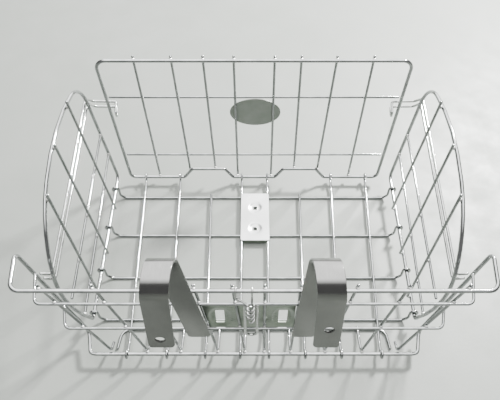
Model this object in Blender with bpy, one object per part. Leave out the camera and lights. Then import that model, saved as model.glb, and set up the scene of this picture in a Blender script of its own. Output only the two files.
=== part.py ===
"""Folding wire handlebar basket: a hooked back panel, a floor, two sides and a front panel on hinges."""
import bmesh
import bpy
from math import atan2, cos, hypot, pi, radians, sin, tan
from mathutils import Matrix, Vector

for old in list(bpy.data.objects):
    bpy.data.objects.remove(old, do_unlink=True)

MM = 0.001
# wires
R_FRAME = 1.9          # frames and rims
R_MESH = 1.4           # mesh wires
R_SPRING = 1.05
GAP = 0.35             # clear gap where one wire passes another
STEP = R_FRAME + R_MESH + GAP      # mesh wire lying against a frame wire
LAYER = 2 * R_MESH + GAP           # mesh wire lying on a mesh wire
EYE = R_FRAME + GAP + R_MESH       # centre radius of a hinge eye
SHIFT_Y = -102.0        # moves the centre of the footprint to y = 0
# back panel, standing on y = 0
Z_HINGE, Z_RIM = 12.0, 148.0
X_RIM, X_EAR, Y_EAR, Z_EAR = 202.0, 208.0, 37.0, 147.0
X_FOOT, Y_FOOT, Z_FOOT = 171.0, 24.0, 13.5
X_HINGE = 164.0
Z_H2, Z_H3 = 123.0, 73.0
Y_LEDGE, X_LEDGE = 31.5, 132.0
UPRIGHTS = ((-181, -145), (-136, -108), (-93, -74), (-51, -36.5), (-18.5, -9.2),
            (9.2, 10.2), (40, 37), (87, 72), (131, 109.5), (181, 146))
# floor
Z_LATERAL = R_MESH
Z_LONG = Z_LATERAL + LAYER
LATERALS = (206.0, 150.0, 93.5, 42.5)
LONGS = ((-129.3, -135.0), (-88.4, -92.2), (-49.5, -53.0), (-13.9, -15.1),
         (15.2, 16.4), (52.1, 56.8), (88.9, 95.9), (129.8, 138.9))
SHORT_LONGS = (2, 5)
PLATE_X, PLATE_Y, PLATE_T = (-15.5, 18.0), (140.0, 208.0), 1.2
PLATE_HOLES = ((1.5, 187.0), (1.5, 157.0))
# sides
X_RAIL, Z_RAIL, LEAN_SIDE = 168.0, 18.0, radians(5.5)
Y_RAIL = (36.0, 226.6)
LEG_LOW, LEG_TOP = (228.3, 36.0), (231.9, 149.0)
ARCH = ((*LEG_TOP, 60), (176, 166.5, 200), (119, 168, 200), (69, 154, 200), (36.5, 127, 200),
        (19.5, 95, 200), (21, 50, 200))
CROSS = ((183, 177.5), (127, 116), (77, 62))
# front panel
Y_FRONT, Z_FRONT = 232.5, 10.0
H_FRONT, LEAN_FRONT = 176.0, radians(3.77)
X_FRONT_LOW, X_FRONT_TOP = 153.5, 164.0
NOTCH, NOTCH_RISE = (26.0, 36.0, 76.0, 86.5), 14.5
VERTICALS = ((-125, -118, -1), (-86, -79.2, 9), (-53, -47.7, 9), (-21, -20.2, -1),
             (21.5, 21.2, -1), (49.2, 49.5, 9), (86, 78.4, 9), (124, 118.3, -1))
FRONT_H = (122.5, 33.0)
OVAL = (1.3, 101.4, 28.6, 19.2)
# bracket
STRAP_W, STRAP_T, Y_STRAP = 21.2, 2.0, -6.2
Z_STRAP_LOW, Z_ARCH, R_ARCH = 71.0, 205.5, 16.0
HOOK_L = (-50.5, -67.0, -71.5, -73.6)
HOOK_R = (45.5, 51.5, 56.0, 57.6)
FRONT_LEG_LOW = 138.0
HOLE_L, HOLE_R, R_HOLE = 12.5, 27.5, 4.2        # strap holes: height above the leg's end
BRACKET = (-46.0, 37.5, 63.0, 112.0)
SLOTS, SLOT_W, SLOT_Z = (-31.3, 26.7), 8.2, (72.5, 98.5)
SMALL_HOLE = (11.0, 86.0, 1.6)

ZINC = (0.62, 0.63, 0.64, 1.0)
STEEL = (0.50, 0.50, 0.50, 1.0)


def material(name, color, rough, metal=1.0):
    mat = bpy.data.materials.new(name)
    mat.use_nodes = True
    p = mat.node_tree.nodes["Principled BSDF"]
    p.inputs["Base Color"].default_value = color
    p.inputs["Metallic"].default_value = metal
    p.inputs["Roughness"].default_value = rough
    return mat


def node(name, verts, faces, origin, color=ZINC, rough=0.3, smooth=True):
    """One object; verts are in millimetres, origin is the point its joint turns about."""
    o = Vector(origin)
    me = bpy.data.meshes.new(name)
    me.from_pydata([tuple((Vector(v) - o) * MM) for v in verts], [], faces)
    bm = bmesh.new()
    bm.from_mesh(me)
    bmesh.ops.recalc_face_normals(bm, faces=bm.faces)
    bm.to_mesh(me)
    bm.free()
    for p in me.polygons:
        p.use_smooth = smooth
    obj = bpy.data.objects.new(name, me)
    obj.location = (o + Vector((0, SHIFT_Y, 0))) * MM
    bpy.context.scene.collection.objects.link(obj)
    me.materials.append(material(name + "_mat", color, rough))
    return obj


def rounded(pts, closed=False, seg=3):
    """A polyline of (point, corner radius) with its corners turned into arcs."""
    pts = [(Vector(p), r) for p, r in pts]
    n, out = len(pts), []
    for i, (p, r) in enumerate(pts):
        if r <= 0 or (not closed and i in (0, n - 1)):
            out.append(p)
            continue
        a, b = pts[i - 1][0] - p, pts[(i + 1) % n][0] - p
        la, lb = a.length, b.length
        a.normalize()
        b.normalize()
        half = a.angle(b) / 2
        if half > radians(89):
            out.append(p)
            continue
        back = min(r / tan(half), la * 0.49, lb * 0.49)
        rad = back * tan(half)
        mid = (a + b).normalized()
        centre = p + mid * (rad / sin(half))
        u, w = p + a * back - centre, p + b * back - centre
        turn = u.angle(w)
        k = max(1, round(seg * turn / radians(60)))
        axis = u.cross(w).normalized()
        for j in range(k + 1):
            out.append(centre + Matrix.Rotation(turn * j / k, 3, axis) @ u)
    keep = [out[0]]
    for q in out[1:]:
        if (q - keep[-1]).length > 0.05:
            keep.append(q)
    return keep


def tube_mesh(path, r, sides=6, closed=False):
    n = len(path)
    tangents = []
    for i in range(n):
        if closed:
            t = path[(i + 1) % n] - path[i - 1]
        else:
            t = path[min(i + 1, n - 1)] - path[max(i - 1, 0)]
        tangents.append(t.normalized())
    ref = Vector((0, 0, 1)) if abs(tangents[0].z) < 0.9 else Vector((1, 0, 0))
    u = (ref - tangents[0] * ref.dot(tangents[0])).normalized()
    frames = [u]
    for i in range(1, n):
        rot = tangents[i - 1].rotation_difference(tangents[i])
        u = rot @ u
        frames.append((u - tangents[i] * u.dot(tangents[i])).normalized())
    twist = 0.0
    if closed:
        last = tangents[-1].rotation_difference(tangents[0]) @ frames[-1]
        w = tangents[0].cross(frames[0])
        twist = -atan2(last.dot(w), last.dot(frames[0]))
    verts, faces = [], []
    for i, (p, t, u) in enumerate(zip(path, tangents, frames)):
        w = t.cross(u)
        add = twist * i / n
        # widen the ring on bends so the wire keeps its width
        k = 1.0
        if closed or 0 < i < n - 1:
            a = (path[i] - path[i - 1]).normalized()
            b = (path[(i + 1) % n] - path[i]).normalized()
            k = 1 / max(cos(a.angle(b, 0) / 2), 0.8)
            bend = (b - a)
            bend = bend.normalized() if bend.length > 1e-6 else None
        else:
            bend = None
        for s in range(sides):
            ang = 2 * pi * s / sides + add
            off = (u * cos(ang) + w * sin(ang)) * r
            if bend:
                off += bend * off.dot(bend) * (k - 1)
            verts.append(p + off)
    rings = n if closed else n - 1
    for i in range(rings):
        j = (i + 1) % n
        for s in range(sides):
            q = (s + 1) % sides
            faces.append((i * sides + s, i * sides + q, j * sides + q, j * sides + s))
    if not closed:
        faces.append(tuple(range(sides - 1, -1, -1)))
        faces.append(tuple((n - 1) * sides + s for s in range(sides)))
    return verts, faces


def wire(name, path, r, origin, sides=6, closed=False, rough=0.28, color=ZINC):
    v, f = tube_mesh([Vector(p) for p in path], r, sides, closed)
    return node(name, v, f, origin, color, rough)


def arc_yz(x, cy, cz, rad, a0, a1, n):
    """Points round an axis along x, angles from +y toward +z."""
    return [Vector((x, cy + rad * cos(radians(a0 + (a1 - a0) * i / n)),
                    cz + rad * sin(radians(a0 + (a1 - a0) * i / n)))) for i in range(n + 1)]


def arc_xz(y, cx, cz, rad, a0, a1, n):
    return [Vector((cx + rad * cos(radians(a0 + (a1 - a0) * i / n)), y,
                    cz + rad * sin(radians(a0 + (a1 - a0) * i / n)))) for i in range(n + 1)]


def cut(obj, cutter):
    mod = obj.modifiers.new("cut", "BOOLEAN")
    mod.operation, mod.solver, mod.object = "DIFFERENCE", "EXACT", cutter
    cutter.hide_render = True
    cutter.display_type = "WIRE"
    deps = bpy.context.evaluated_depsgraph_get()
    me = bpy.data.meshes.new_from_object(obj.evaluated_get(deps))
    obj.modifiers.remove(mod)
    old = obj.data
    obj.data = me
    bpy.data.meshes.remove(old)
    bpy.data.objects.remove(cutter, do_unlink=True)


def prism(outline, axis, low, high):
    """A closed outline extruded along x, y or z."""
    def at(p, h):
        return {"x": (h, p[0], p[1]), "y": (p[0], h, p[1]), "z": (p[0], p[1], h)}[axis]
    n = len(outline)
    verts = [at(p, low) for p in outline] + [at(p, high) for p in outline]
    faces = [tuple(range(n)), tuple(range(2 * n - 1, n - 1, -1))]
    faces += [(i, (i + 1) % n, n + (i + 1) % n, n + i) for i in range(n)]
    return verts, faces


def ellipse(cx, cy, a, b, n=32):
    return [(cx + a * cos(2 * pi * i / n), cy + b * sin(2 * pi * i / n)) for i in range(n)]


def rect(x0, x1, y0, y1):
    return [(x0, y0), (x1, y0), (x1, y1), (x0, y1)]


def cutter(outline, axis, low, high):
    v, f = prism(outline, axis, low, high)
    return node("cutter", v, f, (0, 0, 0))


# ---------------------------------------------------------------- back panel
ROOT = (0, 0, Z_HINGE)
half = [((X_HINGE - 4, 0, Z_HINGE), 0), ((X_FOOT - 4.5, 1.0, Z_HINGE), 6),
        ((X_FOOT, Y_FOOT, Z_FOOT), 7), ((X_EAR, Y_EAR, Z_EAR + 1), 6),
        ((X_RIM + 2, 0, Z_RIM), 9)]
mirror = [((-p[0], p[1], p[2]), r) for p, r in reversed(half)]
wire("back_frame_wire", rounded(half + mirror, closed=True), R_FRAME, ROOT, 8, closed=True)

Y_UP = STEP                         # uprights stand inside the frame
Y_H = Y_UP - LAYER                  # the two cross wires run outside the uprights
for tag, z, x0, end in (("upper", Z_H2, 184.5, (195.0, 29.0, 126.0)),
                        ("lower", Z_H3, 170.5, (181.0, 24.0, 77.5))):
    pts = [((s * a, b, c), r) for s, (a, b, c), r in (
        (-1, end, 0), (-1, (x0 + 6, Y_H, z), 6), (1, (x0 + 6, Y_H, z), 6), (1, end, 0))]
    wire("back_cross_wire_" + tag, rounded(pts), R_MESH, ROOT)

Z_STUB = Z_LATERAL + LAYER
for i, (xt, xb) in enumerate(UPRIGHTS, 1):
    pts = [((xt, Y_UP, Z_RIM + 4.5), 0), ((xb, Y_UP, Z_HINGE - 1.5), 6),
           ((xb, 22, Z_STUB), 8), ((xb, Y_LEDGE + (2.5 if abs(xb) < 130 else -14), Z_STUB), 0)]
    if abs(xb) > 130:
        pts = pts[:1] + [((xb, Y_UP, Z_HINGE + 1.5), 5), ((xb, 15, 8.0), 0)]
    wire("back_upright_%02d" % i, rounded(pts), R_MESH, ROOT)
pts = [((-142, 9.5, R_MESH), 0), ((-139, Y_LEDGE, R_MESH), 10),
       ((139, Y_LEDGE, R_MESH), 10), ((142, 9.5, R_MESH), 0)]
wire("back_ledge_rail", rounded(pts), R_MESH, ROOT)

# bracket plate with two slotted bosses
BX0, BX1, BZ0, BZ1 = BRACKET
Y_PLATE = Y_UP + R_MESH + GAP     # its outer face lies against the uprights
v, f = prism(rect(BX0, BX1, BZ0, BZ1), "y", Y_PLATE, Y_PLATE + 1.6)
plate = node("bracket_plate", v, f, ROOT, STEEL, 0.38, smooth=False)
for x in SLOTS:
    cut(plate, cutter(rect(x - SLOT_W / 2, x + SLOT_W / 2, *SLOT_Z), "y", 0, 12))
cut(plate, cutter(ellipse(*SMALL_HOLE[:2], SMALL_HOLE[2], SMALL_HOLE[2], 12), "y", 0, 12))


def strap(name, xs, hole):
    """A flat strip from the plate, up, over the bar and down in front."""
    yc = Y_STRAP - STRAP_T / 2 - R_ARCH + STRAP_T / 2
    mid = []
    for k in range(4):
        s = k / 3
        mid.append((xs[0] + (xs[1] - xs[0]) * s, Y_STRAP,
                    Z_STRAP_LOW + (Z_ARCH - Z_STRAP_LOW) * s, 1.0, 0.0))
    n = 14
    for k in range(1, n + 1):
        a = pi * k / n
        mid.append((xs[1] + (xs[2] - xs[1]) * k / n, yc + R_ARCH * cos(a),
                    Z_ARCH + R_ARCH * sin(a), cos(a), sin(a)))
    for k in range(1, 4):
        s = k / 3
        mid.append((xs[2] + (xs[3] - xs[2]) * s, yc - R_ARCH - 6.0 * s,
                    Z_ARCH + (FRONT_LEG_LOW - Z_ARCH) * s, -1.0, 0.0))
    verts, faces = [], []
    h, w = STRAP_T / 2, STRAP_W / 2
    for x, y, z, ny, nz in mid:
        for dx, side in ((-w, -h), (w, -h), (w, h), (-w, h)):
            verts.append((x + dx, y + ny * side, z + nz * side))
    m = len(mid)
    for i in range(m - 1):
        for s in range(4):
            q = (s + 1) % 4
            faces.append((i * 4 + s, i * 4 + q, i * 4 + 4 + q, i * 4 + 4 + s))
    faces += [(3, 2, 1, 0), tuple(m * 4 - 4 + s for s in range(4))]
    obj = node(name, verts, faces, ROOT, STEEL, 0.34, smooth=False)
    cut(obj, cutter(ellipse(xs[3], hole, R_HOLE, R_HOLE, 20), "y", -60, yc))
    return obj


strap("hook_strap_left", HOOK_L, FRONT_LEG_LOW + HOLE_L)
strap("hook_strap_right", HOOK_R, FRONT_LEG_LOW + HOLE_R)

# ---------------------------------------------------------------- spring
SX, SY, COIL, TURNS = -2.6, -9.4, 4.0, 3.5
COIL_TOP, COIL_LOW, RING_LOW = 137.0, 112.0, 81.5
SPRING = (0, 0, Z_RIM)
hook_r = R_FRAME + GAP + R_SPRING
path = arc_yz(SX, 0, Z_RIM, hook_r, -35, 180, 7) + [Vector((SX, -hook_r - 1.5, 143.5)), Vector((SX, SY + 1.0, 139.5))]
for k in range(int(TURNS * 12) + 1):
    a = 2 * pi * k / 12
    rad = COIL * min(1.0, (k + 2) / 6, (TURNS * 12 - k + 2) / 6)
    path.append(Vector((SX + rad * sin(a), SY + rad * cos(a),
                        COIL_TOP + (COIL_LOW - COIL_TOP) * k / (TURNS * 12))))
path += [Vector((SX + 2.0, SY, 108.5)), Vector((SX + 5.2, SY, 104.0))]
path += [Vector((SX + 5.4 * cos(radians(a)), SY, RING_LOW + 5.4 + 5.4 * sin(radians(a))))
         for a in (0, -30, -60, -90, -120, -150, -180)] + [Vector((SX - 5.2, SY, 99.0))]
wire("tension_spring", path, R_SPRING, SPRING, 6, rough=0.3)

# ---------------------------------------------------------------- floor
for i, y in enumerate(LATERALS, 1):
    right = [((X_RAIL - 9, y, Z_LATERAL), 6), ((X_RAIL - EYE, y, Z_LATERAL + 6), 6)]
    eye = arc_xz(y, X_RAIL, Z_RAIL, EYE, 180, -60, 10)
    pts = rounded([((0, y, Z_LATERAL), 0)] + right + [((X_RAIL - EYE, y, Z_RAIL - 4), 0)])[1:]
    full = pts + eye
    left = [Vector((-p.x, p.y, p.z)) for p in reversed(full)]
    wire("floor_lateral_%d" % i, left + full, R_MESH, ROOT)
for i, (xn, xf) in enumerate(LONGS):
    near = arc_yz(xn, 0, Z_HINGE, EYE, 20, 270, 10)
    mid = [((xn, 5.5, Z_HINGE - EYE), 4), ((xn + (xf - xn) * 0.07, 15, Z_LONG), 8)]
    if i in SHORT_LONGS:
        xe = xn + (xf - xn) * 209.5 / Y_FRONT
        mid += [((xe, 209.5, Z_LONG), 0)]
        far = []
    else:
        mid += [((xf, Y_FRONT - 14, Z_LONG), 8), ((xf, Y_FRONT - 5, Z_FRONT - EYE), 4)]
        far = arc_yz(xf, Y_FRONT, Z_FRONT, EYE, -90, 160, 10)
    path = near[:-1] + rounded([(near[-1], 0)] + mid + ([(far[0], 0)] if far else []))
    wire("floor_long_%d" % (i + 1), path + far[1:], R_MESH, ROOT)
zp = Z_LONG + R_MESH + GAP
v, f = prism(rect(*PLATE_X, *PLATE_Y), "z", zp, zp + PLATE_T)
fp = node("floor_plate", v, f, ROOT, STEEL, 0.36, smooth=False)
for x, y in PLATE_HOLES:
    cut(fp, cutter(rect(x - 2.4, x + 2.4, y - 2.4, y + 2.4), "z", 0, 20))

# ---------------------------------------------------------------- sides
def leg(s):
    """The y of a side frame's front leg at height s."""
    return LEG_LOW[0] + (LEG_TOP[0] - LEG_LOW[0]) * (s - LEG_LOW[1]) / (LEG_TOP[1] - LEG_LOW[1])


for tag, sx in (("left", -1), ("right", 1)):
    O = Vector((sx * X_RAIL, 0, Z_RAIL))
    UPV = Vector((sx * sin(LEAN_SIDE), 0, cos(LEAN_SIDE)))
    INV = Vector((-sx * cos(LEAN_SIDE), 0, sin(LEAN_SIDE)))

    def at(y, s, inward=0.0):
        return O + Vector((0, y, 0)) + UPV * s + INV * inward

    loop = [(at(Y_RAIL[0], 0), 5), (at(Y_RAIL[1], 0), 7), (at(*LEG_LOW), 20)]
    loop += [(at(y, s), r) for y, s, r in ARCH]
    wire("%s_side_frame" % tag, rounded(loop, closed=True, seg=4), R_FRAME, O, 8, closed=True)
    tops = {0: 170.5, 1: 171.0, 2: 162.0}
    for k, (yt, yb) in enumerate(CROSS):
        pts = [at(yt, tops[k], STEP), at(yb, -1.0, STEP)]
        wire("%s_side_cross_%d" % (tag, k + 1), pts, R_MESH, O)
    off = STEP - LAYER
    wire("%s_side_long_upper" % tag, [at(leg(74) - STEP, 74, off), at(23.5 + STEP, 62, off)], R_MESH, O)
    wire("%s_side_long_lower" % tag, [at(leg(42) - STEP, 42, off), at(27.2 + STEP, 25, off)], R_MESH, O)
    # spring-wire latch lying outside the frame: two legs, a hook round the front panel, finger ends
    yf = Y_FRONT + 14.0

    def hooked(s, zz):
        a = at(40, 104 if s > 117 else 95.5, -STEP)
        b = at(238.5, s, -STEP)
        c = Vector((sx * 178.5, yf, zz))
        return a, b, c

    a1, b1, c1 = hooked(121, 126.5)
    a2, b2, c2 = hooked(114, 118.5)
    e = Vector((sx * 9.5, -11.0, 5.0))
    pts = [(a1 + e, 0), (a1 + Vector((0, -9, 0)), 4), (b1, 4), (c1, 4),
           (Vector((sx * 153.0, yf, 126.0)), 3), (Vector((sx * 152.0, yf - 14, 122.5)), 2.5),
           (Vector((sx * 152.0, yf - 14, 116.0)), 2.5), (Vector((sx * 153.0, yf, 118.0)), 3),
           (c2, 4), (b2, 4), (a2 + Vector((0, -9, 0)), 4), (a2 + e, 0)]
    wire("%s_latch_wire" % tag, rounded(pts), R_MESH, O)

# ---------------------------------------------------------------- front panel
FO = Vector((0, Y_FRONT, Z_FRONT))
FUP = Vector((0, sin(LEAN_FRONT), cos(LEAN_FRONT)))
FIN = Vector((0, -cos(LEAN_FRONT), sin(LEAN_FRONT)))


def on(x, t, inward=0.0):
    return FO + Vector((x, 0, 0)) + FUP * t + FIN * inward


n0, n1, n2, n3 = NOTCH
low = [((-X_FRONT_LOW, 0), 7), ((-n3, 0), 4), ((-n2, NOTCH_RISE), 4), ((-n1, NOTCH_RISE), 4), ((-n0, 0), 4),
       ((n0, 0), 4), ((n1, NOTCH_RISE), 4), ((n2, NOTCH_RISE), 4), ((n3, 0), 4), ((X_FRONT_LOW, 0), 7),
       ((X_FRONT_TOP, H_FRONT), 10), ((-X_FRONT_TOP, H_FRONT), 10)]
wire("front_frame_wire", rounded([(on(*p), r) for p, r in low], closed=True), R_FRAME, FO, 8, closed=True)
for i, (xt, xb, t) in enumerate(VERTICALS, 1):
    wire("front_vertical_%d" % i, [on(xt, H_FRONT + 4, -STEP), on(xb, t, -STEP)], R_MESH, FO)
for i, t in enumerate(FRONT_H, 1):
    w = X_FRONT_LOW + (X_FRONT_TOP - X_FRONT_LOW) * t / H_FRONT - 0.5
    wire("front_cross_wire_%d" % i, [on(-w, t, -STEP - LAYER), on(w, t, -STEP - LAYER)], R_MESH, FO)
cx, ct, a, b = OVAL
back = -STEP - R_MESH - GAP
ring = ellipse(cx, ct, a, b)
verts = [on(x, t, back) for x, t in ring] + [on(x, t, back - 1.2) for x, t in ring]
m = len(ring)
faces = [tuple(range(m)), tuple(range(2 * m - 1, m - 1, -1))]
faces += [(i, (i + 1) % m, m + (i + 1) % m, m + i) for i in range(m)]
node("front_oval_plate", verts, faces, FO, STEEL, 0.4, smooth=False)
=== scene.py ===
"""Looks for the folding wire handlebar basket.

Round zinc-plated wire, weld nuggets, pressed plates, strap hooks and a small spring.
"""
from math import cos, pi, radians, sin, sqrt, tan

import bpy
import bmesh
from mathutils import Matrix, Vector, noise


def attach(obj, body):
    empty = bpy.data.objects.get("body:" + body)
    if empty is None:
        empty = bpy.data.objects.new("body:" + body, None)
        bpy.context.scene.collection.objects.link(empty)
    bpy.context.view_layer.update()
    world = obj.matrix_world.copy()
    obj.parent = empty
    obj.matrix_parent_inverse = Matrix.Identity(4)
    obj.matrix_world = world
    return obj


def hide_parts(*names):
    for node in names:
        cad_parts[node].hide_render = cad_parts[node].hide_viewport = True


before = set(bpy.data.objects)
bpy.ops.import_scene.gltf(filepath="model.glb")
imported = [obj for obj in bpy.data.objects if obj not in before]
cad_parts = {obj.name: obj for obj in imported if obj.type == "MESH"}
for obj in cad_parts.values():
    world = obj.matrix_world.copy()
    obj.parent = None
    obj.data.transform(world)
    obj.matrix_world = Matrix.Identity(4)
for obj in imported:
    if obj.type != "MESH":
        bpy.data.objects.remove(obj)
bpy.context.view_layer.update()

MM = 0.001
# ------------------------------------------------------------------ driving dimensions, millimetres
R_FRAME, R_MESH = 1.9, 1.4
GAP = 0.35
STEP = R_FRAME + R_MESH + GAP
LAYER = 2 * R_MESH + GAP
EYE = R_FRAME + GAP + R_MESH
SHIFT_Y = -102.0
Z_HINGE, Z_RIM = 12.0, 148.0
X_RIM, X_EAR, Y_EAR, Z_EAR = 202.0, 208.0, 37.0, 147.0
X_FOOT, Y_FOOT, Z_FOOT, X_HINGE = 171.0, 24.0, 13.5, 164.0
Z_H2, Z_H3, Y_LEDGE = 123.0, 73.0, 31.5
UPRIGHTS = ((-181, -145), (-136, -108), (-93, -74), (-51, -36.5), (-18.5, -9.2),
            (9.2, 10.2), (40, 37), (87, 72), (131, 109.5), (181, 146))
Z_LATERAL = R_MESH
Z_LONG = Z_LATERAL + LAYER
LATERALS = (206.0, 150.0, 93.5, 42.5)
LONGS = ((-129.3, -135.0), (-88.4, -92.2), (-49.5, -53.0), (-13.9, -15.1),
         (15.2, 16.4), (52.1, 56.8), (88.9, 95.9), (129.8, 138.9))
SHORT_LONGS = (2, 5)
PLATE_X, PLATE_Y, PLATE_T = (-15.5, 18.0), (140.0, 208.0), 1.2
PLATE_HOLES = ((1.5, 187.0), (1.5, 157.0))
X_RAIL, Z_RAIL, LEAN_SIDE = 168.0, 18.0, radians(5.5)
Y_RAIL, LEG_LOW, LEG_TOP = (36.0, 226.6), (228.3, 36.0), (231.9, 149.0)
ARCH = ((*LEG_TOP, 60), (176, 166.5, 200), (119, 168, 200), (69, 154, 200), (36.5, 127, 200),
        (19.5, 95, 200), (21, 50, 200))
CROSS = ((183, 177.5), (127, 116), (77, 62))
CROSS_TOPS = (170.5, 171.0, 162.0)
Y_FRONT, Z_FRONT, H_FRONT, LEAN_FRONT = 232.5, 10.0, 176.0, radians(3.77)
X_FRONT_LOW, X_FRONT_TOP = 153.5, 164.0
NOTCH, NOTCH_RISE = (26.0, 36.0, 76.0, 86.5), 14.5
VERTICALS = ((-125, -118, -1), (-86, -79.2, 9), (-53, -47.7, 9), (-21, -20.2, -1),
             (21.5, 21.2, -1), (49.2, 49.5, 9), (86, 78.4, 9), (124, 118.3, -1))
FRONT_H = (122.5, 33.0)
OVAL = (1.3, 101.4, 28.6, 19.2)
STRAP_W, STRAP_T, Y_STRAP = 21.2, 2.0, -6.2
Z_STRAP_LOW, Z_ARCH, R_ARCH, FRONT_LEG_LOW = 71.0, 205.5, 16.0, 138.0
HOLE_L, HOLE_R, R_HOLE = 12.5, 27.5, 4.2
HOOK_L = (-50.5, -67.0, -71.5, -73.6)
HOOK_R = (45.5, 51.5, 56.0, 57.6)
BRACKET = (-46.0, 37.5, 63.0, 112.0)
SLOTS, SLOT_W, SLOT_Z = (-31.3, 26.7), 8.2, (72.5, 98.5)
SMALL_HOLE = (11.0, 86.0, 1.6)
SPRING_X, SPRING_Y = -2.6, -9.4
# camera: where it stands, how far down it looks, and its picture width at unit distance
CAM_Y, CAM_Z, CAM_DOWN, CAM_FOCAL, CAM_OFF = -231.0, 587.5, 53.5, 1.18, 0.008


def row(p):
    """A point in millimetres, hinge rail at y = 0, to metres in the row frame."""
    return Vector((p[0], p[1] + SHIFT_Y, p[2])) * MM


# ------------------------------------------------------------------ materials
def shader(name, rough, metal=1.0):
    mat = bpy.data.materials.new(name)
    mat.use_nodes = True
    nt = mat.node_tree
    b = nt.nodes["Principled BSDF"]
    b.inputs["Metallic"].default_value = metal
    b.inputs["Roughness"].default_value = rough
    coord = nt.nodes.new("ShaderNodeTexCoord")
    return mat, nt, b, coord.outputs["Object"]


def noise_node(nt, vec, scale, detail=4.0, rough=0.55, stretch=None):
    if stretch:
        m = nt.nodes.new("ShaderNodeMapping")
        m.inputs["Scale"].default_value = stretch
        nt.links.new(vec, m.inputs["Vector"])
        vec = m.outputs["Vector"]
    n = nt.nodes.new("ShaderNodeTexNoise")
    n.inputs["Scale"].default_value = scale
    n.inputs["Detail"].default_value = detail
    n.inputs["Roughness"].default_value = rough
    nt.links.new(vec, n.inputs["Vector"])
    return n.outputs["Fac"]


def ramp(nt, fac, stops):
    r = nt.nodes.new("ShaderNodeValToRGB")
    el = r.color_ramp.elements
    el[0].position, el[0].color = stops[0][0], (*stops[0][1], 1)
    el[1].position, el[1].color = stops[-1][0], (*stops[-1][1], 1)
    for pos, col in stops[1:-1]:
        e = el.new(pos)
        e.color = (*col, 1)
    nt.links.new(fac, r.inputs["Fac"])
    return r.outputs["Color"]


def span(nt, fac, lo, hi, a=0.3, b=0.7):
    m = nt.nodes.new("ShaderNodeMapRange")
    m.inputs["From Min"].default_value, m.inputs["From Max"].default_value = a, b
    m.inputs["To Min"].default_value, m.inputs["To Max"].default_value = lo, hi
    nt.links.new(fac, m.inputs["Value"])
    return m.outputs["Result"]


def mix(nt, fac, a, b, mode="MIX"):
    m = nt.nodes.new("ShaderNodeMix")
    m.data_type, m.blend_type = "RGBA", mode
    if isinstance(fac, float):
        m.inputs["Factor"].default_value = fac
    else:
        nt.links.new(fac, m.inputs["Factor"])
    for sock, v in ((m.inputs[6], a), (m.inputs[7], b)):
        if isinstance(v, tuple):
            sock.default_value = (*v, 1)
        else:
            nt.links.new(v, sock)
    return m.outputs[2]


def bump(nt, b, fac, strength, dist):
    n = nt.nodes.new("ShaderNodeBump")
    n.inputs["Strength"].default_value = strength
    n.inputs["Distance"].default_value = dist
    nt.links.new(fac, n.inputs["Height"])
    nt.links.new(n.outputs["Normal"], b.inputs["Normal"])


def zinc(name, bright, dull, rlo, rhi, grime=(0.16, 0.15, 0.13)):
    """Bright zinc plate: cloudy patches, fine drawing marks, and sparse dull specks."""
    mat, nt, b, obj = shader(name, rlo)
    cloud = noise_node(nt, obj, 90.0, 5.0)
    speck = noise_node(nt, obj, 950.0, 2.0)
    colour = ramp(nt, cloud, ((0.3, dull), (0.62, bright)))
    dirt = ramp(nt, speck, ((0.70, (0, 0, 0)), (0.82, (1, 1, 1))))
    nt.links.new(mix(nt, dirt, colour, grime), b.inputs["Base Color"])
    nt.links.new(span(nt, cloud, rhi, rlo), b.inputs["Roughness"])
    bump(nt, b, noise_node(nt, obj, 1400.0, 3.0), 0.12, 0.0002)
    return mat


def brushed(name, bright, dull, rlo, rhi, along):
    """Satin strip: long brushing streaks, faint blotches and scuffs."""
    mat, nt, b, obj = shader(name, rlo)
    streak = noise_node(nt, obj, 420.0, 4.0, 0.7, along)
    blotch = noise_node(nt, obj, 70.0, 4.0)
    colour = mix(nt, 0.45, ramp(nt, streak, ((0.3, dull), (0.7, bright))),
                 ramp(nt, blotch, ((0.35, dull), (0.65, bright))))
    scuff = ramp(nt, noise_node(nt, obj, 160.0, 6.0, 0.75, (1.0, 0.3, 2.4)),
                 ((0.64, (0, 0, 0)), (0.74, (0.6, 0.6, 0.6))))
    colour = mix(nt, scuff, colour, tuple(0.7 * v for v in dull))
    nt.links.new(colour, b.inputs["Base Color"])
    nt.links.new(span(nt, streak, rlo, rhi), b.inputs["Roughness"])
    bump(nt, b, streak, 0.03, 0.0002)
    return mat


WIRE = zinc("zinc_wire", (0.34, 0.35, 0.35), (0.23, 0.24, 0.24), 0.08, 0.17, (0.10, 0.095, 0.085))
RIM = zinc("zinc_rim_wire", (0.40, 0.41, 0.41), (0.28, 0.29, 0.29), 0.07, 0.15,
           (0.10, 0.095, 0.085))
# weld nuggets are coloured much lighter than the wire they join: painted highlight, standing in for the
# bright reflections off their rounded shape
WELD_PAINTED_HIGHLIGHT = zinc("weld_zinc_painted_highlight", (0.66, 0.67, 0.66), (0.44, 0.44, 0.42), 0.28, 0.46)
SPRING = zinc("spring_wire", (0.56, 0.57, 0.56), (0.40, 0.41, 0.40), 0.08, 0.17)
STRAP = brushed("satin_strap", (0.20, 0.20, 0.196), (0.165, 0.165, 0.162), 0.15, 0.20,
                (6.0, 0.25, 0.25))
PRESSED = brushed("satin_plate", (0.28, 0.31, 0.27), (0.20, 0.23, 0.19), 0.24, 0.38,
                  (0.3, 0.3, 5.0))
FLOORPL = brushed("floor_plate_zinc", (0.68, 0.69, 0.69), (0.56, 0.57, 0.57), 0.26, 0.38,
                  (5.0, 0.3, 0.3))
OVALM = brushed("oval_plate_dull", (0.28, 0.30, 0.275), (0.21, 0.23, 0.205), 0.40, 0.55,
                (0.4, 3.0, 3.0))


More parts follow.
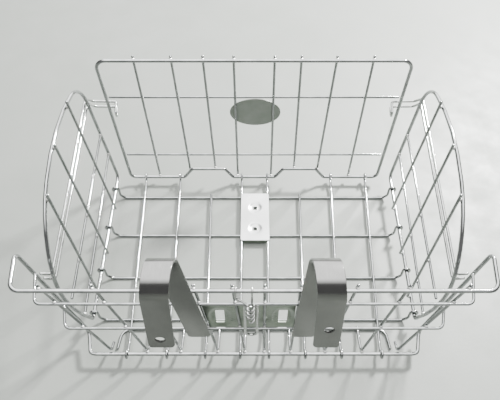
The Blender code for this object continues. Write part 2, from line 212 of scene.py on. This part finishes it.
# ------------------------------------------------------------------ geometry helpers
def piece(name, verts, faces, body, mat, nodes=(), smooth=True):
    me = bpy.data.meshes.new(name)
    me.from_pydata([tuple(row(v)) for v in verts], [], faces)
    bm = bmesh.new()
    bm.from_mesh(me)
    bmesh.ops.recalc_face_normals(bm, faces=bm.faces)
    bm.to_mesh(me)
    bm.free()
    for p in me.polygons:
        p.use_smooth = smooth
    obj = bpy.data.objects.new(name, me)
    bpy.context.scene.collection.objects.link(obj)
    me.materials.append(mat)
    if body:
        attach(obj, body)
    if nodes:
        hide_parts(*nodes)
    return obj


def rounded(pts, closed=False, seg=8):
    """A polyline of (point, corner radius) with its corners turned into arcs."""
    pts = [(Vector(p), r) for p, r in pts]
    n, out = len(pts), []
    for i, (p, r) in enumerate(pts):
        a, b = pts[i - 1][0] - p, pts[(i + 1) % n][0] - p
        if r <= 0 or (not closed and i in (0, n - 1)) or a.angle(b) / 2 > radians(89):
            out.append(p)
            continue
        la, lb = a.length, b.length
        a.normalize()
        b.normalize()
        half = a.angle(b) / 2
        back = min(r / tan(half), la * 0.49, lb * 0.49)
        centre = p + (a + b).normalized() * (back * tan(half) / sin(half))
        u, w = p + a * back - centre, p + b * back - centre
        turn = u.angle(w)
        k = max(2, round(seg * turn / radians(60)))
        axis = u.cross(w).normalized()
        out += [centre + Matrix.Rotation(turn * j / k, 3, axis) @ u for j in range(k + 1)]
    keep = [out[0]]
    for q in out[1:]:
        if (q - keep[-1]).length > 0.05:
            keep.append(q)
    return keep


def sweep(path, r, sides=12, closed=False):
    """A round tube along a path, with softly domed ends when it is open."""
    n = len(path)
    tang = []
    for i in range(n):
        a = path[i - 1] if closed or i else path[0]
        b = path[(i + 1) % n] if closed else path[min(i + 1, n - 1)]
        tang.append((b - a).normalized())
    ref = Vector((0, 0, 1)) if abs(tang[0].z) < 0.9 else Vector((1, 0, 0))
    u = (ref - tang[0] * ref.dot(tang[0])).normalized()
    frames = [u]
    for i in range(1, n):
        u = tang[i - 1].rotation_difference(tang[i]) @ u
        frames.append((u - tang[i] * u.dot(tang[i])).normalized())
    rings = [(p, t, u, r) for p, t, u in zip(path, tang, frames)]
    if not closed:
        dome = [(0.0, 0.0), (0.30, 0.62), (0.75, 0.93)]
        p, t, u, _ = rings[0]
        head = [(p + t * (d * r * 0.5), t, u, max(k, 0.28) * r) for d, k in dome]
        p, t, u, _ = rings[-1]
        tail = [(p - t * (d * r * 0.5), t, u, max(k, 0.28) * r) for d, k in reversed(dome)]
        p0, pn = rings[0], rings[-1]
        rings[0] = (p0[0] + p0[1] * r * 0.6, p0[1], p0[2], r)
        rings[-1] = (pn[0] - pn[1] * r * 0.6, pn[1], pn[2], r)
        rings = head + rings + tail
    verts, faces, m = [], [], len(rings)
    turn = 0.0
    if closed:
        last = tang[-1].rotation_difference(tang[0]) @ frames[-1]
        turn = -last.angle(frames[0], 0) * (1 if tang[0].dot(frames[0].cross(last)) > 0 else -1)
    for i, (p, t, u, rad) in enumerate(rings):
        w = t.cross(u)
        for s in range(sides):
            a = 2 * pi * s / sides + turn * i / m
            verts.append(p + (u * cos(a) + w * sin(a)) * rad)
    for i in range(m if closed else m - 1):
        j = (i + 1) % m
        for s in range(sides):
            q = (s + 1) % sides
            faces.append((i * sides + s, i * sides + q, j * sides + q, j * sides + s))
    if not closed:
        faces += [tuple(range(sides - 1, -1, -1)), tuple((m - 1) * sides + s for s in range(sides))]
    return verts, faces


runs = {}


def wire(node, path, r, body, mat=None, closed=False, weld=True, sides=12):
    path = [Vector(p) for p in path]
    v, f = sweep(path, r, sides, closed)
    piece(node + "_fine", v, f, body, mat or WIRE, (node,))
    if weld:
        runs.setdefault(body, []).append((path + path[:1] if closed else path, r))


def arc_yz(x, cy, cz, rad, a0, a1, n):
    return [Vector((x, cy + rad * cos(radians(a0 + (a1 - a0) * i / n)),
                    cz + rad * sin(radians(a0 + (a1 - a0) * i / n)))) for i in range(n + 1)]


def arc_xz(y, cx, cz, rad, a0, a1, n):
    return [Vector((cx + rad * cos(radians(a0 + (a1 - a0) * i / n)), y,
                    cz + rad * sin(radians(a0 + (a1 - a0) * i / n)))) for i in range(n + 1)]


def prism(outline, axis, low, high):
    at = {"x": lambda p, h: (h, p[0], p[1]), "y": lambda p, h: (p[0], h, p[1]),
          "z": lambda p, h: (p[0], p[1], h)}[axis]
    n = len(outline)
    verts = [at(p, low) for p in outline] + [at(p, high) for p in outline]
    faces = [tuple(range(n)), tuple(range(2 * n - 1, n - 1, -1))]
    return verts, faces + [(i, (i + 1) % n, n + (i + 1) % n, n + i) for i in range(n)]


def round_rect(x0, x1, y0, y1, r, seg=6):
    out = []
    for cx, cy, a in ((x1 - r, y1 - r, 0), (x0 + r, y1 - r, 90),
                      (x0 + r, y0 + r, 180), (x1 - r, y0 + r, 270)):
        out += [(cx + r * cos(radians(a + 90 * k / seg)), cy + r * sin(radians(a + 90 * k / seg)))
                for k in range(seg + 1)]
    return out


def circle(cx, cy, a, b=None, n=40):
    return [(cx + a * cos(2 * pi * i / n), cy + (b or a) * sin(2 * pi * i / n)) for i in range(n)]


def carve(obj, tools, mode="DIFFERENCE"):
    """Boolean with throwaway prisms."""
    for v, f in tools:
        t = piece("tool", v, f, None, WIRE)
        mod = obj.modifiers.new("cut", "BOOLEAN")
        mod.operation, mod.solver, mod.object = mode, "EXACT", t
        deps = bpy.context.evaluated_depsgraph_get()
        me = bpy.data.meshes.new_from_object(obj.evaluated_get(deps))
        obj.modifiers.clear()
        old, obj.data = obj.data, me
        bpy.data.meshes.remove(old)
        bpy.data.objects.remove(t, do_unlink=True)


def soften(obj, width, angle=35, seg=2):
    mod = obj.modifiers.new("edge", "BEVEL")
    mod.width, mod.segments, mod.limit_method = width * MM, seg, "ANGLE"
    mod.angle_limit = radians(angle)
    mod.harden_normals = False
    for p in obj.data.polygons:
        p.use_smooth = True
    nrm = obj.modifiers.new("normals", "WEIGHTED_NORMAL")
    nrm.keep_sharp = True


# ------------------------------------------------------------------ back panel
half = [((X_HINGE - 4, 0, Z_HINGE), 0), ((X_FOOT - 4.5, 1.0, Z_HINGE), 6),
        ((X_FOOT, Y_FOOT, Z_FOOT), 7), ((X_EAR, Y_EAR, Z_EAR + 1), 6),
        ((X_RIM + 2, 0, Z_RIM), 9)]
mirror = [((-p[0], p[1], p[2]), r) for p, r in reversed(half)]
wire("back_frame_wire", rounded(half + mirror, closed=True), R_FRAME, "back_panel", RIM,
     closed=True, sides=16)
Y_UP = STEP
Y_H = Y_UP - LAYER
for tag, z, x0, end in (("upper", Z_H2, 184.5, (195.0, 29.0, 126.0)),
                        ("lower", Z_H3, 170.5, (181.0, 24.0, 77.5))):
    pts = [((s * a, b, c), r) for s, (a, b, c), r in (
        (-1, end, 0), (-1, (x0 + 6, Y_H, z), 6), (1, (x0 + 6, Y_H, z), 6), (1, end, 0))]
    wire("back_cross_wire_" + tag, rounded(pts), R_MESH, "back_panel")
for i, (xt, xb) in enumerate(UPRIGHTS, 1):
    pts = [((xt, Y_UP, Z_RIM + 4.5), 0), ((xb, Y_UP, Z_HINGE - 1.5), 6),
           ((xb, 22, Z_LONG), 8), ((xb, Y_LEDGE + 2.5, Z_LONG), 0)]
    if abs(xb) > 130:
        pts = pts[:1] + [((xb, Y_UP, Z_HINGE + 1.5), 5), ((xb, 15, 8.0), 0)]
    wire("back_upright_%02d" % i, rounded(pts), R_MESH, "back_panel")
pts = [((-142, 9.5, R_MESH), 0), ((-139, Y_LEDGE, R_MESH), 10),
       ((139, Y_LEDGE, R_MESH), 10), ((142, 9.5, R_MESH), 0)]
wire("back_ledge_rail", rounded(pts), R_MESH, "back_panel")


def pressed_sheet(name, body, x0, x1, y0, y1, t, height, place, node, mat, cell=1.0):
    """A thin sheet with pressed relief; place maps (x, y, z out of the sheet) to the row frame."""
    nx, ny = max(2, round((x1 - x0) / cell)), max(2, round((y1 - y0) / cell))
    verts, faces = [], []
    for k in (0, 1):
        for j in range(ny + 1):
            for i in range(nx + 1):
                x, y = x0 + (x1 - x0) * i / nx, y0 + (y1 - y0) * j / ny
                verts.append(place(x, y, height(x, y) - t * k))
    m, w = (nx + 1) * (ny + 1), nx + 1
    for j in range(ny):
        for i in range(nx):
            a = j * w + i
            faces += [(a, a + 1, a + w + 1, a + w), (m + a, m + a + w, m + a + w + 1, m + a + 1)]
    edge = [i for i in range(nx)] + [nx + j * w for j in range(ny)]
    edge += [ny * w + nx - i for i in range(nx)] + [(ny - j) * w for j in range(ny)]
    for p, q in zip(edge, edge[1:] + edge[:1]):
        faces.append((p, m + p, m + q, q))
    return piece(name, verts, faces, body, mat, (node,))


def bowl(d, r, rim):
    """1 inside r, easing to 0 over the rim width."""
    s = min(max((r + rim - d) / rim, 0.0), 1.0)
    return s * s * (3 - 2 * s)


Y_PLATE = Y_UP + R_MESH + GAP
bx0, bx1, bz0, bz1 = BRACKET
plate = pressed_sheet(
    "bracket_plate_pressed", "back_panel", bx0, bx1, bz0, bz1, 1.6,
    lambda x, z: -1.5 * max(bowl(sqrt(((x - s) / 9.5) ** 2 + ((z - 85.5) / 17.5) ** 2), 0.82, 0.42)
                            for s in SLOTS),
    lambda x, z, h: (x, Y_PLATE - h, z), "bracket_plate", PRESSED)
carve(plate, [prism(round_rect(bx0, bx1, bz0, bz1, 3.0), "y", 0, 20)], "INTERSECT")
carve(plate, [prism(round_rect(s - SLOT_W / 2, s + SLOT_W / 2, *SLOT_Z, 0.8), "y", 0, 20)
              for s in SLOTS]
      + [prism(circle(*SMALL_HOLE, n=20), "y", 0, 20)])
soften(plate, 0.25)


def strap(node, xs, hole):
    """A flat strip from the plate, up, over the bar and down in front, with eased edges."""
    yc = Y_STRAP - R_ARCH
    mid = []
    for k in range(13):
        s = k / 12
        mid.append((xs[0] + (xs[1] - xs[0]) * s, Y_STRAP,
                    Z_STRAP_LOW + (Z_ARCH - Z_STRAP_LOW) * s, 1.0, 0.0))
    for k in range(1, 37):
        a = pi * k / 36
        mid.append((xs[1] + (xs[2] - xs[1]) * k / 36, yc + R_ARCH * cos(a),
                    Z_ARCH + R_ARCH * sin(a), cos(a), sin(a)))
    for k in range(1, 13):
        s = k / 12
        mid.append((xs[2] + (xs[3] - xs[2]) * s, yc - R_ARCH - 6.0 * s,
                    Z_ARCH + (FRONT_LEG_LOW - Z_ARCH) * s, -1.0, 0.0))
    # extra stations near both ends so the corners can be rounded
    for end, nxt in ((0, 1), (-1, -2)):
        a, b = mid[end], mid[nxt]
        length = sqrt(sum((a[i] - b[i]) ** 2 for i in range(3)))
        new = [tuple(a[i] + (b[i] - a[i]) * d / length for i in range(3)) + a[3:]
               for d in (0.35, 1.0, 2.0, 3.2)]
        mid = [mid[0]] + new + mid[1:] if end == 0 else mid[:-1] + new[::-1] + [mid[-1]]
    cut_in = (2.6, 1.75, 0.95, 0.3, 0.0)
    m, h = len(mid), STRAP_T / 2
    section = [(-1, -0.4), (-1, 0.4), (-0.6, 0.85), (0, 1), (0.6, 0.85),
               (1, 0.4), (1, -0.4), (0.6, -0.85), (0, -1), (-0.6, -0.85)]
    verts, faces, n = [], [], len(section)
    for i, (x, y, z, ny, nz) in enumerate(mid):
        w = STRAP_W / 2 - cut_in[min(i, m - 1 - i, 4)]
        for sx, sy in section:
            # the eased edge is 0.5 mm wide, the rest of the section is flat
            px = w * (1 if sx > 0 else -1) if abs(sx) == 1 else (w - 0.45) * (sx / 0.6)
            d = h * (sy if abs(sx) == 1 else (1 if sy > 0 else -1))
            verts.append((x + px, y + ny * d, z + nz * d))
    for i in range(m - 1):
        for s in range(n):
            q = (s + 1) % n
            faces.append((i * n + s, i * n + q, (i + 1) * n + q, (i + 1) * n + s))
    faces += [tuple(range(n - 1, -1, -1)), tuple((m - 1) * n + s for s in range(n))]
    obj = piece(node + "_formed", verts, faces, "back_panel", STRAP, (node,))
    carve(obj, [prism(circle(xs[3], hole, R_HOLE), "y", -60, yc)])
    nrm = obj.modifiers.new("normals", "WEIGHTED_NORMAL")
    nrm.keep_sharp = True
    for p in obj.data.polygons:
        p.use_smooth = True
    return obj


strap("hook_strap_left", HOOK_L, FRONT_LEG_LOW + HOLE_L)
strap("hook_strap_right", HOOK_R, FRONT_LEG_LOW + HOLE_R)

# ------------------------------------------------------------------ drawbar spring: coil and two links
COIL_R, PITCH = 2.95, 7.4
coil = []
for k in range(int(3.5 * 20) + 1):
    a = 2 * pi * k / 20 + 0.6
    coil.append(Vector((SPRING_X + COIL_R * sin(a), SPRING_Y + COIL_R * cos(a),
                        138.0 - PITCH * k / 20)))
v, f = sweep(coil, 1.05, 10)
piece("spring_coil", v, f, "spring", SPRING, ("tension_spring",))
HOOK_IN = R_FRAME + 0.25 + 0.95
for tag, x_rim, x_low in (("right", -1.6, SPRING_X + 0.8), ("left", -15.5, SPRING_X - 1.0)):
    hook = [(p, 0) for p in arc_yz(x_rim, 0, Z_RIM, HOOK_IN, -60, 180, 14)]
    tail = [((x_rim, -HOOK_IN - 0.6, Z_RIM - 5.0), 3), ((x_low, SPRING_Y, 138.5), 4),
            ((x_low, SPRING_Y, 114.0), 0)]
    v, f = sweep(rounded(hook + tail, seg=6), 0.95, 10)
    piece("spring_upper_link_" + tag, v, f, "spring", SPRING)
pts = [((SPRING_X - 1.6, SPRING_Y, 140.6), 0), ((SPRING_X - 5.3, SPRING_Y, 139.0), 2.5),
       ((SPRING_X - 5.3, SPRING_Y, 81.6), 5.2), ((SPRING_X + 5.3, SPRING_Y, 81.6), 5.2),
       ((SPRING_X + 5.3, SPRING_Y, 139.0), 2.5), ((SPRING_X + 1.6, SPRING_Y, 140.6), 0)]
v, f = sweep(rounded(pts), 1.2, 12)
piece("spring_lower_link", v, f, "spring", SPRING)

# ------------------------------------------------------------------ floor
for i, y in enumerate(LATERALS, 1):
    pts = rounded([((0, y, Z_LATERAL), 0), ((X_RAIL - 9, y, Z_LATERAL), 6),
                   ((X_RAIL - EYE, y, Z_LATERAL + 6), 6), ((X_RAIL - EYE, y, Z_RAIL - 4), 0)])[1:]
    full = pts + arc_xz(y, X_RAIL, Z_RAIL, EYE, 180, -60, 24)
    wire("floor_lateral_%d" % i, [Vector((-p.x, p.y, p.z)) for p in reversed(full)] + full, R_MESH, "floor")
for i, (xn, xf) in enumerate(LONGS):
    near = arc_yz(xn, 0, Z_HINGE, EYE, 20, 270, 24)
    mid = [((xn, 5.5, Z_HINGE - EYE), 4), ((xn + (xf - xn) * 0.07, 15, Z_LONG), 8)]
    far = []
    if i in SHORT_LONGS:
        mid += [((xn + (xf - xn) * 209.5 / Y_FRONT, 209.5, Z_LONG), 0)]
    else:
        mid += [((xf, Y_FRONT - 14, Z_LONG), 8), ((xf, Y_FRONT - 5, Z_FRONT - EYE), 4)]
        far = arc_yz(xf, Y_FRONT, Z_FRONT, EYE, -90, 160, 24)
    path = near[:-1] + rounded([(near[-1], 0)] + mid + ([(far[0], 0)] if far else []))
    wire("floor_long_%d" % (i + 1), path + far[1:], R_MESH, "floor")
zp = Z_LONG + R_MESH + GAP + PLATE_T
px0, px1 = PLATE_X
py0, py1 = PLATE_Y
fp = pressed_sheet(
    "floor_plate_pressed", "floor", px0, px1, py0, py1, PLATE_T,
    lambda x, y: -1.6 * max(bowl(sqrt((x - hx) ** 2 + (y - hy) ** 2), 4.6, 4.2) for hx, hy in PLATE_HOLES),
    lambda x, y, h: (x, y, zp + h), "floor_plate", FLOORPL)
carve(fp, [prism(round_rect(px0, px1, py0, py1, 2.0), "z", 0, 20)], "INTERSECT")
carve(fp, [prism(round_rect(x - 2.4, x + 2.4, y - 2.4, y + 2.4, 0.3, 2), "z", 0, 20) for x, y in PLATE_HOLES])
soften(fp, 0.2)
# the plate's near end is turned down between the two middle wires; it takes the darker satin plate material,
# painted shade that colours the turned-down end darker than the plate itself
v, f = prism(round_rect(py0 - 0.2, py0 + 1.0, 1.2, zp - 0.15, 0.4), "x", px0 + 3.2, px1 - 3.2)
shade_lip = piece("floor_plate_lip_painted_shade", v, f, "floor", PRESSED)
soften(shade_lip, 0.15)

# ------------------------------------------------------------------ sides
def leg(s):
    """The y of a side frame's front leg at height s."""
    return LEG_LOW[0] + (LEG_TOP[0] - LEG_LOW[0]) * (s - LEG_LOW[1]) / (LEG_TOP[1] - LEG_LOW[1])


for tag, sx in (("left", -1), ("right", 1)):
    body = tag + "_side"
    O = Vector((sx * X_RAIL, 0, Z_RAIL))
    UPV = Vector((sx * sin(LEAN_SIDE), 0, cos(LEAN_SIDE)))
    INV = Vector((-sx * cos(LEAN_SIDE), 0, sin(LEAN_SIDE)))

    def at(y, s, inward=0.0):
        return O + Vector((0, y, 0)) + UPV * s + INV * inward

    loop = [(at(Y_RAIL[0], 0), 5), (at(Y_RAIL[1], 0), 7), (at(*LEG_LOW), 20)]
    loop += [(at(y, s), r) for y, s, r in ARCH]
    wire("%s_side_frame" % tag, rounded(loop, closed=True), R_FRAME, body, RIM,
         closed=True, sides=16)
    for k, (yt, yb) in enumerate(CROSS):
        wire("%s_side_cross_%d" % (tag, k + 1), [at(yt, CROSS_TOPS[k], STEP), at(yb, -1.0, STEP)],
             R_MESH, body)
    off = STEP - LAYER
    wire("%s_side_long_upper" % tag, [at(leg(74) - STEP, 74, off), at(23.5 + STEP, 62, off)],
         R_MESH, body)
    wire("%s_side_long_lower" % tag, [at(leg(42) - STEP, 42, off), at(27.2 + STEP, 25, off)],
         R_MESH, body)
    yf = Y_FRONT + 14.0
    legs = []
    for s, near_s, z in ((121, 104, 126.5), (114, 95.5, 118.5)):
        legs.append((at(40, near_s, -STEP), at(238.5, s, -STEP), Vector((sx * 178.5, yf, z))))
    (a1, b1, c1), (a2, b2, c2) = legs
    e, back = Vector((sx * 9.5, -11.0, 5.0)), Vector((0, -9, 0))
    tip = [(Vector((sx * x, y, z)), r) for x, y, z, r in (
        (153.0, yf, 126.0, 3), (152.0, yf - 14, 122.5, 2.5),
        (152.0, yf - 14, 116.0, 2.5), (153.0, yf, 118.0, 3))]
    pts = [(a1 + e, 0), (a1 + back, 4), (b1, 4), (c1, 4)] + tip
    pts += [(c2, 4), (b2, 4), (a2 + back, 4), (a2 + e, 0)]
    wire("%s_latch_wire" % tag, rounded(pts), R_MESH, body, SPRING, weld=False)

# ------------------------------------------------------------------ front panel
FO = Vector((0, Y_FRONT, Z_FRONT))
FUP = Vector((0, sin(LEAN_FRONT), cos(LEAN_FRONT)))
FIN = Vector((0, -cos(LEAN_FRONT), sin(LEAN_FRONT)))


def on(x, t, inward=0.0):
    return FO + Vector((x, 0, 0)) + FUP * t + FIN * inward


n0, n1, n2, n3 = NOTCH
low = [((-X_FRONT_LOW, 0), 7), ((-n3, 0), 4), ((-n2, NOTCH_RISE), 4), ((-n1, NOTCH_RISE), 4), ((-n0, 0), 4),
       ((n0, 0), 4), ((n1, NOTCH_RISE), 4), ((n2, NOTCH_RISE), 4), ((n3, 0), 4), ((X_FRONT_LOW, 0), 7),
       ((X_FRONT_TOP, H_FRONT), 10), ((-X_FRONT_TOP, H_FRONT), 10)]
wire("front_frame_wire", rounded([(on(*p), r) for p, r in low], closed=True), R_FRAME, "front_panel", RIM,
     closed=True, sides=16)
for i, (xt, xb, t) in enumerate(VERTICALS, 1):
    wire("front_vertical_%d" % i, [on(xt, H_FRONT + 4, -STEP), on(xb, t, -STEP)], R_MESH, "front_panel")
for i, t in enumerate(FRONT_H, 1):
    w = X_FRONT_LOW + (X_FRONT_TOP - X_FRONT_LOW) * t / H_FRONT - 0.5
    wire("front_cross_wire_%d" % i, [on(-w, t, -STEP - LAYER), on(w, t, -STEP - LAYER)],
         R_MESH, "front_panel")
cx, ct, ea, eb = OVAL
rings = [(0.97, 0.0), (1.0, 0.25), (1.0, 0.95), (0.97, 1.2)]
verts, faces, m = [], [], 64
for k, d in rings:
    verts += [on(x, t, -STEP - R_MESH - GAP - d) for x, t in circle(cx, ct, ea * k, eb * k, m)]
faces = [tuple(range(m)), tuple(range(4 * m - 1, 3 * m - 1, -1))]
for k in range(3):
    faces += [(k * m + i, k * m + (i + 1) % m, (k + 1) * m + (i + 1) % m, (k + 1) * m + i)
              for i in range(m)]
oval = piece("front_oval_plate_eased", verts, faces, "front_panel", OVALM,
             ("front_oval_plate",))
oval.modifiers.new("normals", "WEIGHTED_NORMAL")


# ------------------------------------------------------------------ weld nuggets where wires of a body touch
WELD_REACH, WELD_APART = 1.4, 8
NUGGET_WIDE, NUGGET_FLAT, NUGGET_LUMP = 0.62, 0.85, 0.16
NUGGET_ROWS, NUGGET_COLS = 8, 14


def nearest(p1, q1, p2, q2):
    """Closest points of two segments."""
    d1, d2, r = q1 - p1, q2 - p2, p1 - p2
    a, e, f = d1.dot(d1), d2.dot(d2), d2.dot(r)
    c, b = d1.dot(r), d1.dot(d2)
    den = a * e - b * b
    s = min(max((b * f - c * e) / den, 0), 1) if den > 1e-9 else 0.0
    t = min(max((b * s + f) / e, 0), 1)
    s = min(max((b * t - c) / a, 0), 1)
    return p1 + d1 * s, p2 + d2 * t


def weld_points(lines):
    """Where two wires of one body come close, the closest points first, none nearer than WELD_APART."""
    found = []
    boxes = [(Vector([min(p[i] for p in line) for i in range(3)]),
              Vector([max(p[i] for p in line) for i in range(3)])) for line, _ in lines]
    for i, (la, ra) in enumerate(lines):
        for j in range(i + 1, len(lines)):
            lb, rb = lines[j]
            reach = ra + rb + WELD_REACH
            (lo_a, hi_a), (lo_b, hi_b) = boxes[i], boxes[j]
            if any(lo_a[k] > hi_b[k] + reach or lo_b[k] > hi_a[k] + reach for k in range(3)):
                continue
            best = []
            for p1, q1 in zip(la, la[1:]):
                for p2, q2 in zip(lb, lb[1:]):
                    u, w = nearest(p1, q1, p2, q2)
                    if (u - w).length < reach:
                        best.append(((u - w).length, u, w, (q1 - p1).normalized(),
                                     (q2 - p2).normalized(), ra, rb))
            best.sort(key=lambda b: b[0])
            kept = []
            for b in best:
                if all((b[1] - k[1]).length > WELD_APART for k in kept):
                    kept.append(b)
            found += kept
    return found


for body, lines in runs.items():
    verts, faces = [], []
    for dist, u, w, t1, t2, ra, rb in weld_points(lines):
        axis = (w - u).normalized()
        centre = u + axis * (ra + (dist - ra - rb) / 2)
        side = t1.cross(axis).normalized() if t1.cross(axis).length > 1e-3 else t2
        other = axis.cross(side)
        base, wide = len(verts), NUGGET_WIDE * (ra + rb)
        for j in range(NUGGET_ROWS + 1):
            lat = pi * j / NUGGET_ROWS - pi / 2
            for k in range(NUGGET_COLS):
                lon = 2 * pi * k / NUGGET_COLS
                d = (side * (cos(lat) * cos(lon) * wide) + other * (cos(lat) * sin(lon) * wide)
                     + axis * (sin(lat) * wide * NUGGET_FLAT))
                p = centre + d
                verts.append(centre + d * (1 + NUGGET_LUMP * noise.noise(p * 0.9)))
        for j in range(NUGGET_ROWS):
            for k in range(NUGGET_COLS):
                q = (k + 1) % NUGGET_COLS
                a, b = base + j * NUGGET_COLS + k, base + j * NUGGET_COLS + q
                faces.append((a, b, b + NUGGET_COLS, a + NUGGET_COLS))
    obj = piece(body + "_weld_nuggets", verts, faces, body, WELD_PAINTED_HIGHLIGHT)
    bm = bmesh.new()
    bm.from_mesh(obj.data)
    bmesh.ops.remove_doubles(bm, verts=bm.verts, dist=0.00001)
    bm.to_mesh(obj.data)
    bm.free()

# ------------------------------------------------------------------ floor, light and camera
GROUND_HALF = 6.0
LAMP_PLACE, LAMP_AIM, LAMP_SIZE, LAMP_POWER = (0.80, 0.92, 0.96), (0, 0, 0.05), (0.20, 0.20), 150.0
SKY_STRENGTH, ROOM_GREY = 6.6, (0.05, 0.05, 0.05)

ground = bpy.data.meshes.new("ground")
H = GROUND_HALF
ground.from_pydata([(-H, -H, 0), (H, -H, 0), (H, H, 0), (-H, H, 0)], [], [(0, 1, 2, 3)])
gobj = bpy.data.objects.new("ground", ground)
bpy.context.scene.collection.objects.link(gobj)
mat, nt, b, obj = shader("pale_floor", 0.5, 0.0)
tone = ramp(nt, noise_node(nt, obj, 9.0, 6.0),
            ((0.3, (0.146, 0.159, 0.144)), (0.7, (0.169, 0.180, 0.167))))
nt.links.new(tone, b.inputs["Base Color"])
nt.links.new(span(nt, noise_node(nt, obj, 30.0), 0.42, 0.58), b.inputs["Roughness"])
bump(nt, b, noise_node(nt, obj, 300.0, 5.0), 0.08, 0.001)
ground.materials.append(mat)


def lamp(name, place, aim, size, power, colour=(1, 1, 1)):
    data = bpy.data.lights.new(name, "AREA")
    data.shape, data.size, data.size_y = "RECTANGLE", size[0], size[1]
    data.energy, data.color = power, colour
    o = bpy.data.objects.new(name, data)
    o.location = place
    o.rotation_euler = (Vector(aim) - Vector(place)).to_track_quat("-Z", "Y").to_euler()
    bpy.context.scene.collection.objects.link(o)


lamp("window", LAMP_PLACE, LAMP_AIM, LAMP_SIZE, LAMP_POWER, (1.0, 1.0, 0.98))
# a bright band of sky over the middle of the room, grey at the sides and behind the rider
world = bpy.data.worlds.new("soft_room")
world.use_nodes = True
bpy.context.scene.world = world
wn = world.node_tree
bg = wn.nodes["Background"]
tc = wn.nodes.new("ShaderNodeTexCoord")
sep = wn.nodes.new("ShaderNodeSeparateXYZ")
wn.links.new(tc.outputs["Generated"], sep.inputs["Vector"])
side = wn.nodes.new("ShaderNodeMath")
side.operation = "ABSOLUTE"
wn.links.new(sep.outputs["X"], side.inputs[0])
height = ramp(wn, sep.outputs["Z"], ((0.0, (0.15, 0.15, 0.15)), (0.14, (1.0, 1.0, 1.0))))
across = ramp(wn, side.outputs[0], ((0.30, (1.0, 1.0, 0.99)), (0.62, (0.035, 0.037, 0.036))))
behind = wn.nodes.new("ShaderNodeVectorMath")
behind.operation = "DOT_PRODUCT"
behind.inputs[1].default_value = (0.0, 1.0, 1.3)
wn.links.new(tc.outputs["Generated"], behind.inputs[0])
wall = ramp(wn, behind.outputs["Value"], ((0.25, (0.006, 0.006, 0.006)), (0.95, (1.0, 1.0, 1.0))))
room = mix(wn, 1.0, height, across, "MULTIPLY")
room = mix(wn, 1.0, room, wall, "MULTIPLY")
wn.links.new(mix(wn, 1.0, room, ROOM_GREY, "LIGHTEN"), bg.inputs["Color"])
bg.inputs["Strength"].default_value = SKY_STRENGTH

cam = bpy.data.cameras.new("camera")
cam.sensor_width, cam.lens, cam.shift_x = 36.0, 36.0 * CAM_FOCAL, -CAM_OFF
cam.clip_start, cam.clip_end = 0.01, 50.0
cobj = bpy.data.objects.new("camera", cam)
cobj.location = row((0, CAM_Y, CAM_Z))
cobj.rotation_euler = (radians(90 - CAM_DOWN), 0, 0)
bpy.context.scene.collection.objects.link(cobj)
bpy.context.scene.camera = cobj
